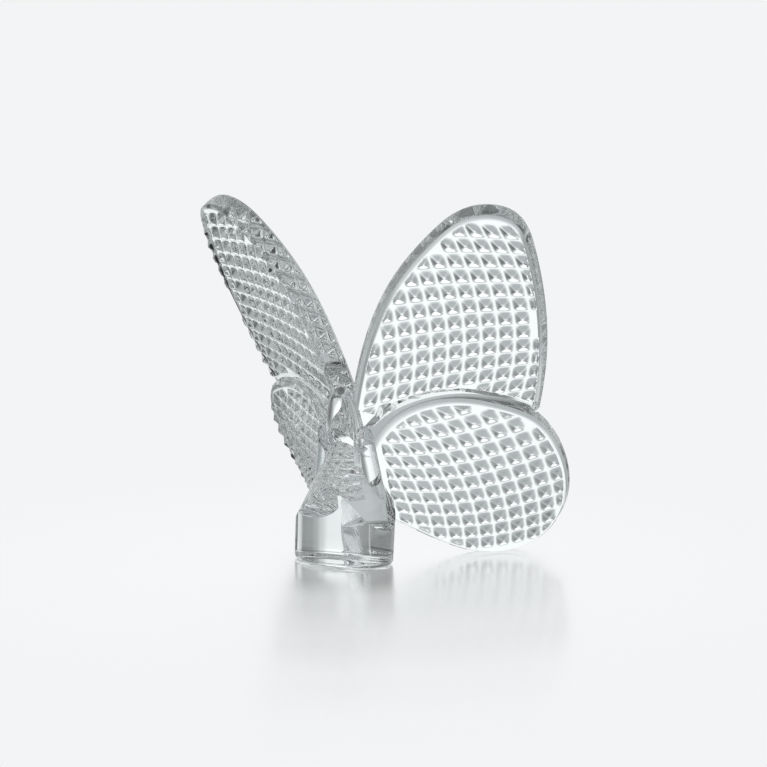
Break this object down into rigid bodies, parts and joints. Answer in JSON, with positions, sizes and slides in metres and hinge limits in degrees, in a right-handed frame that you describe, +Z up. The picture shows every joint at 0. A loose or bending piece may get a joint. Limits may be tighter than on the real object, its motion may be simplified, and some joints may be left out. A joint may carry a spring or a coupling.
{
  "type": "butterfly ornament",
  "caption": "Clear pressed-crystal butterfly that stands head up on its cut abdomen, with raised wings covered in small pyramids.",
  "frame": {"origin": "middle of the flat resting face under the foot, on the plane that mirrors the two sides", "axes": "+X towards the butterfly's left wings, -Y towards the front of its body, +Z up"},
  "size_m": [0.0674, 0.0377, 0.063],
  "materials": {
    "crystal": "fire-polished clear crystal"
  },
  "bodies": {
    "root": {"head_thorax": "crystal", "abdomen_foot": "crystal", "left_forewing": "crystal", "left_hindwing": "crystal", "right_forewing": "crystal", "right_hindwing": "crystal"}
  },
  "joints": []
}
